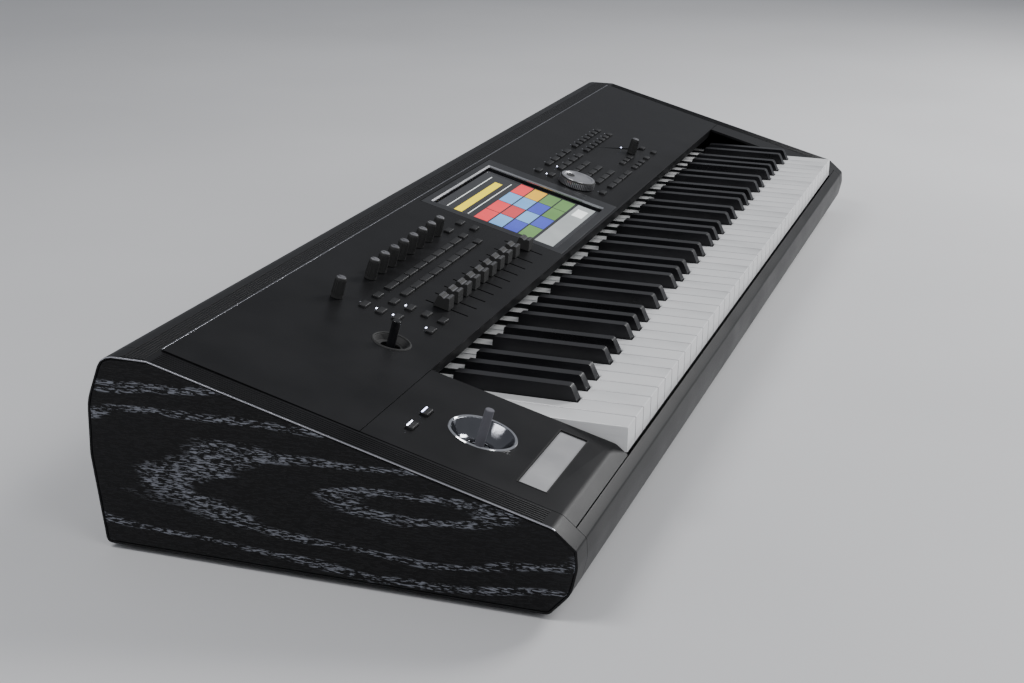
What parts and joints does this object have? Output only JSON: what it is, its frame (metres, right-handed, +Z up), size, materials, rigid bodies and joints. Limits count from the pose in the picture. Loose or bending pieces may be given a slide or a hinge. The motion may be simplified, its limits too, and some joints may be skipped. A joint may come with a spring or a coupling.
{
  "type": "music workstation",
  "caption": "Synthesizer workstation with a long weighted keyboard, sloping control panel with touch display, faders, knobs and dial, joystick, ribbon and wood end panels.",
  "frame": {"origin": "on the surface the feet stand on, under the middle of the casing", "axes": "+X along the keys from low to high, +Y from the player to the rear, +Z up"},
  "size_m": [1.234, 0.3572, 0.1515],
  "materials": {
    "black_painted_metal": "fine satin black paint",
    "stained_ash": "black stained open-grain ash, satin lacquer",
    "grey_metal": "satin grey",
    "screen_glass": "glossy dark glass over the display",
    "zinc_steel": "zinc plated",
    "circuit_board": "green solder mask",
    "chrome": "polished chrome",
    "ribbon_grey": "light grey, satin",
    "knob_black": "black, satin",
    "key_white": "glossy white",
    "key_black": "black, half gloss",
    "stick_grey": "dark grey, satin",
    "button_black": "black rubber"
  },
  "bodies": {
    "casing": {"base_pan": "black_painted_metal", "front_rail": "black_painted_metal", "rear_cover": "black_painted_metal", "left_end_casting": "black_painted_metal", "right_end_casting": "black_painted_metal", "left_control_block": "black_painted_metal", "right_end_block": "black_painted_metal", "control_panel": "black_painted_metal", "left_wood_panel": "stained_ash", "right_wood_panel": "stained_ash", "display_bezel": "grey_metal", "touch_screen": "screen_glass", "key_chassis": "zinc_steel", "control_board": "circuit_board", "main_board": "circuit_board", "power_supply": "circuit_board", "joystick_bowl": "chrome", "ribbon_pad": "ribbon_grey", "vector_ring": "knob_black"},
    "joystick_gimbal": {"joystick_gimbal": "zinc_steel"},
    "vector_gimbal": {"vector_gimbal": "zinc_steel"},
    "value_dial": {"value_dial": "knob_black"},
    "volume_knob": {"volume_knob": "knob_black"},
    "tempo_knob": {"tempo_knob": "knob_black"},
    "value_slider": {"value_slider": "knob_black"},
    "power_switch": {"power_switch": "knob_black"},
    "realtime_knob_1": {"realtime_knob_1": "knob_black"},
    "realtime_knob_2": {"realtime_knob_2": "knob_black"},
    "realtime_knob_3": {"realtime_knob_3": "knob_black"},
    "realtime_knob_4": {"realtime_knob_4": "knob_black"},
    "realtime_knob_5": {"realtime_knob_5": "knob_black"},
    "realtime_knob_6": {"realtime_knob_6": "knob_black"},
    "realtime_knob_7": {"realtime_knob_7": "knob_black"},
    "realtime_knob_8": {"realtime_knob_8": "knob_black"},
    "fader_1": {"fader_1": "knob_black"},
    "fader_2": {"fader_2": "knob_black"},
    "fader_3": {"fader_3": "knob_black"},
    "fader_4": {"fader_4": "knob_black"},
    "fader_5": {"fader_5": "knob_black"},
    "fader_6": {"fader_6": "knob_black"},
    "fader_7": {"fader_7": "knob_black"},
    "fader_8": {"fader_8": "knob_black"},
    "fader_9": {"fader_9": "knob_black"},
    "white_keys_1": {"white_keys_1": "key_white"},
    "white_keys_2": {"white_keys_2": "key_white"},
    "white_keys_3": {"white_keys_3": "key_white"},
    "white_keys_4": {"white_keys_4": "key_white"},
    "white_keys_5": {"white_keys_5": "key_white"},
    "white_keys_6": {"white_keys_6": "key_white"},
    "black_keys_1": {"black_keys_1": "key_black"},
    "black_keys_2": {"black_keys_2": "key_black"},
    "black_keys_3": {"black_keys_3": "key_black"},
    "black_keys_4": {"black_keys_4": "key_black"},
    "black_keys_5": {"black_keys_5": "key_black"},
    "black_keys_6": {"black_keys_6": "key_black"},
    "vector_stick": {"vector_stick": "key_black"},
    "joystick_stick": {"joystick_stick": "stick_grey"},
    "mixer_buttons": {"mixer_buttons": "button_black"},
    "mode_buttons": {"mode_buttons": "button_black"},
    "assign_switches": {"assign_switches": "button_black"}
  },
  "joints": [
    {"name": "white_keys_1_turn", "type": "hinge", "parent": "casing", "child": "white_keys_1", "pos_m": [0, 0.04425, 0.071], "axis": [1, 0, 0], "range_deg": [0, 2.69], "stiffness_Nm_per_rad": 3, "springref_deg": -17.19},
    {"name": "black_keys_1_turn", "type": "hinge", "parent": "casing", "child": "black_keys_1", "pos_m": [0, 0.04425, 0.071], "axis": [1, 0, 0], "range_deg": [0, 2.69], "stiffness_Nm_per_rad": 0.8, "springref_deg": -17.19},
    {"name": "white_keys_2_turn", "type": "hinge", "parent": "casing", "child": "white_keys_2", "pos_m": [0, 0.04425, 0.071], "axis": [1, 0, 0], "range_deg": [0, 2.69], "stiffness_Nm_per_rad": 3, "springref_deg": -17.19},
    {"name": "black_keys_2_turn", "type": "hinge", "parent": "casing", "child": "black_keys_2", "pos_m": [0, 0.04425, 0.071], "axis": [1, 0, 0], "range_deg": [0, 2.69], "stiffness_Nm_per_rad": 0.8, "springref_deg": -17.19},
    {"name": "white_keys_3_turn", "type": "hinge", "parent": "casing", "child": "white_keys_3", "pos_m": [0, 0.04425, 0.071], "axis": [1, 0, 0], "range_deg": [0, 2.69], "stiffness_Nm_per_rad": 3, "springref_deg": -17.19},
    {"name": "black_keys_3_turn", "type": "hinge", "parent": "casing", "child": "black_keys_3", "pos_m": [0, 0.04425, 0.071], "axis": [1, 0, 0], "range_deg": [0, 2.69], "stiffness_Nm_per_rad": 0.8, "springref_deg": -17.19},
    {"name": "white_keys_4_turn", "type": "hinge", "parent": "casing", "child": "white_keys_4", "pos_m": [0, 0.04425, 0.071], "axis": [1, 0, 0], "range_deg": [0, 2.69], "stiffness_Nm_per_rad": 3, "springref_deg": -17.19},
    {"name": "black_keys_4_turn", "type": "hinge", "parent": "casing", "child": "black_keys_4", "pos_m": [0, 0.04425, 0.071], "axis": [1, 0, 0], "range_deg": [0, 2.69], "stiffness_Nm_per_rad": 0.8, "springref_deg": -17.19},
    {"name": "white_keys_5_turn", "type": "hinge", "parent": "casing", "child": "white_keys_5", "pos_m": [0, 0.04425, 0.071], "axis": [1, 0, 0], "range_deg": [0, 2.69], "stiffness_Nm_per_rad": 3, "springref_deg": -17.19},
    {"name": "black_keys_5_turn", "type": "hinge", "parent": "casing", "child": "black_keys_5", "pos_m": [0, 0.04425, 0.071], "axis": [1, 0, 0], "range_deg": [0, 2.69], "stiffness_Nm_per_rad": 0.8, "springref_deg": -17.19},
    {"name": "white_keys_6_turn", "type": "hinge", "parent": "casing", "child": "white_keys_6", "pos_m": [0, 0.04425, 0.071], "axis": [1, 0, 0], "range_deg": [0, 2.69], "stiffness_Nm_per_rad": 3, "springref_deg": -17.19},
    {"name": "black_keys_6_turn", "type": "hinge", "parent": "casing", "child": "black_keys_6", "pos_m": [0, 0.04425, 0.071], "axis": [1, 0, 0], "range_deg": [0, 2.69], "stiffness_Nm_per_rad": 0.8, "springref_deg": -17.19},
    {"name": "realtime_knob_1_turn", "type": "hinge", "parent": "casing", "child": "realtime_knob_1", "pos_m": [-0.3315, 0.08433, 0.1328], "axis": [0, -0.2615, 0.9652], "range_deg": [-150, 150]},
    {"name": "realtime_knob_2_turn", "type": "hinge", "parent": "casing", "child": "realtime_knob_2", "pos_m": [-0.3095, 0.08433, 0.1328], "axis": [0, -0.2615, 0.9652], "range_deg": [-150, 150]},
    {"name": "realtime_knob_3_turn", "type": "hinge", "parent": "casing", "child": "realtime_knob_3", "pos_m": [-0.2875, 0.08433, 0.1328], "axis": [0, -0.2615, 0.9652], "range_deg": [-150, 150]},
    {"name": "realtime_knob_4_turn", "type": "hinge", "parent": "casing", "child": "realtime_knob_4", "pos_m": [-0.2655, 0.08433, 0.1328], "axis": [0, -0.2615, 0.9652], "range_deg": [-150, 150]},
    {"name": "realtime_knob_5_turn", "type": "hinge", "parent": "casing", "child": "realtime_knob_5", "pos_m": [-0.2435, 0.08433, 0.1328], "axis": [0, -0.2615, 0.9652], "range_deg": [-150, 150]},
    {"name": "realtime_knob_6_turn", "type": "hinge", "parent": "casing", "child": "realtime_knob_6", "pos_m": [-0.2215, 0.08433, 0.1328], "axis": [0, -0.2615, 0.9652], "range_deg": [-150, 150]},
    {"name": "realtime_knob_7_turn", "type": "hinge", "parent": "casing", "child": "realtime_knob_7", "pos_m": [-0.1995, 0.08433, 0.1328], "axis": [0, -0.2615, 0.9652], "range_deg": [-150, 150]},
    {"name": "realtime_knob_8_turn", "type": "hinge", "parent": "casing", "child": "realtime_knob_8", "pos_m": [-0.1775, 0.08433, 0.1328], "axis": [0, -0.2615, 0.9652], "range_deg": [-150, 150]},
    {"name": "volume_knob_turn", "type": "hinge", "parent": "casing", "child": "volume_knob", "pos_m": [-0.394, 0.08723, 0.13358], "axis": [0, -0.2615, 0.9652], "range_deg": [-150, 150]},
    {"name": "tempo_knob_turn", "type": "hinge", "parent": "casing", "child": "tempo_knob", "pos_m": [0.316, 0.02738, 0.11737], "axis": [0, -0.2615, 0.9652], "range_deg": [-150, 150]},
    {"name": "value_dial_turn", "type": "hinge", "parent": "casing", "child": "value_dial", "pos_m": [0.122, 0.038, 0.12025], "axis": [0, -0.2615, 0.9652], "continuous": true},
    {"name": "fader_1_slide", "type": "slide", "parent": "casing", "child": "fader_1", "axis": [0, 0.9652, 0.2615], "range_m": [-0.0199, 0.0137]},
    {"name": "fader_2_slide", "type": "slide", "parent": "casing", "child": "fader_2", "axis": [0, 0.9652, 0.2615], "range_m": [-0.0199, 0.0137]},
    {"name": "fader_3_slide", "type": "slide", "parent": "casing", "child": "fader_3", "axis": [0, 0.9652, 0.2615], "range_m": [-0.0199, 0.0137]},
    {"name": "fader_4_slide", "type": "slide", "parent": "casing", "child": "fader_4", "axis": [0, 0.9652, 0.2615], "range_m": [-0.0199, 0.0137]},
    {"name": "fader_5_slide", "type": "slide", "parent": "casing", "child": "fader_5", "axis": [0, 0.9652, 0.2615], "range_m": [-0.0199, 0.0137]},
    {"name": "fader_6_slide", "type": "slide", "parent": "casing", "child": "fader_6", "axis": [0, 0.9652, 0.2615], "range_m": [-0.0199, 0.0137]},
    {"name": "fader_7_slide", "type": "slide", "parent": "casing", "child": "fader_7", "axis": [0, 0.9652, 0.2615], "range_m": [-0.0199, 0.0137]},
    {"name": "fader_8_slide", "type": "slide", "parent": "casing", "child": "fader_8", "axis": [0, 0.9652, 0.2615], "range_m": [-0.0199, 0.0137]},
    {"name": "fader_9_slide", "type": "slide", "parent": "casing", "child": "fader_9", "axis": [0, 0.9652, 0.2615], "range_m": [-0.0199, 0.0137]},
    {"name": "value_slider_slide", "type": "slide", "parent": "casing", "child": "value_slider", "axis": [0, 0.9652, 0.2615], "range_m": [-0.0168, 0.0168]},
    {"name": "mixer_buttons_slide", "type": "slide", "parent": "casing", "child": "mixer_buttons", "axis": [0, 0.2615, -0.9652], "range_m": [0, 0.0008], "stiffness_N_per_m": 2000, "springref_m": -0.0008},
    {"name": "mode_buttons_slide", "type": "slide", "parent": "casing", "child": "mode_buttons", "axis": [0, 0.2615, -0.9652], "range_m": [0, 0.0008], "stiffness_N_per_m": 2000, "springref_m": -0.0008},
    {"name": "assign_switches_slide", "type": "slide", "parent": "casing", "child": "assign_switches", "axis": [0, 0.2615, -0.9652], "range_m": [0, 0.0008], "stiffness_N_per_m": 600, "springref_m": -0.0008},
    {"name": "joystick_gimbal_turn", "type": "hinge", "parent": "casing", "child": "joystick_gimbal", "pos_m": [-0.524, -0.07549, 0.06877], "axis": [1, 0, 0], "range_deg": [-18, 18], "stiffness_Nm_per_rad": 0.05},
    {"name": "joystick_stick_turn", "type": "hinge", "parent": "joystick_gimbal", "child": "joystick_stick", "pos_m": [-0.524, -0.07549, 0.06877], "axis": [0, 0.9652, 0.2615], "range_deg": [-18, 18], "stiffness_Nm_per_rad": 0.05},
    {"name": "vector_gimbal_turn", "type": "hinge", "parent": "casing", "child": "vector_gimbal", "pos_m": [-0.435, 0.02714, 0.10487], "axis": [1, 0, 0], "range_deg": [-18, 18]},
    {"name": "vector_stick_turn", "type": "hinge", "parent": "vector_gimbal", "child": "vector_stick", "pos_m": [-0.435, 0.02714, 0.10487], "axis": [0, 0.9652, 0.2615], "range_deg": [-18, 18]},
    {"name": "power_switch_turn", "type": "hinge", "parent": "casing", "child": "power_switch", "pos_m": [-0.43, 0.17005, 0.087], "axis": [1, 0, 0], "range_deg": [0, 16]}
  ]
}
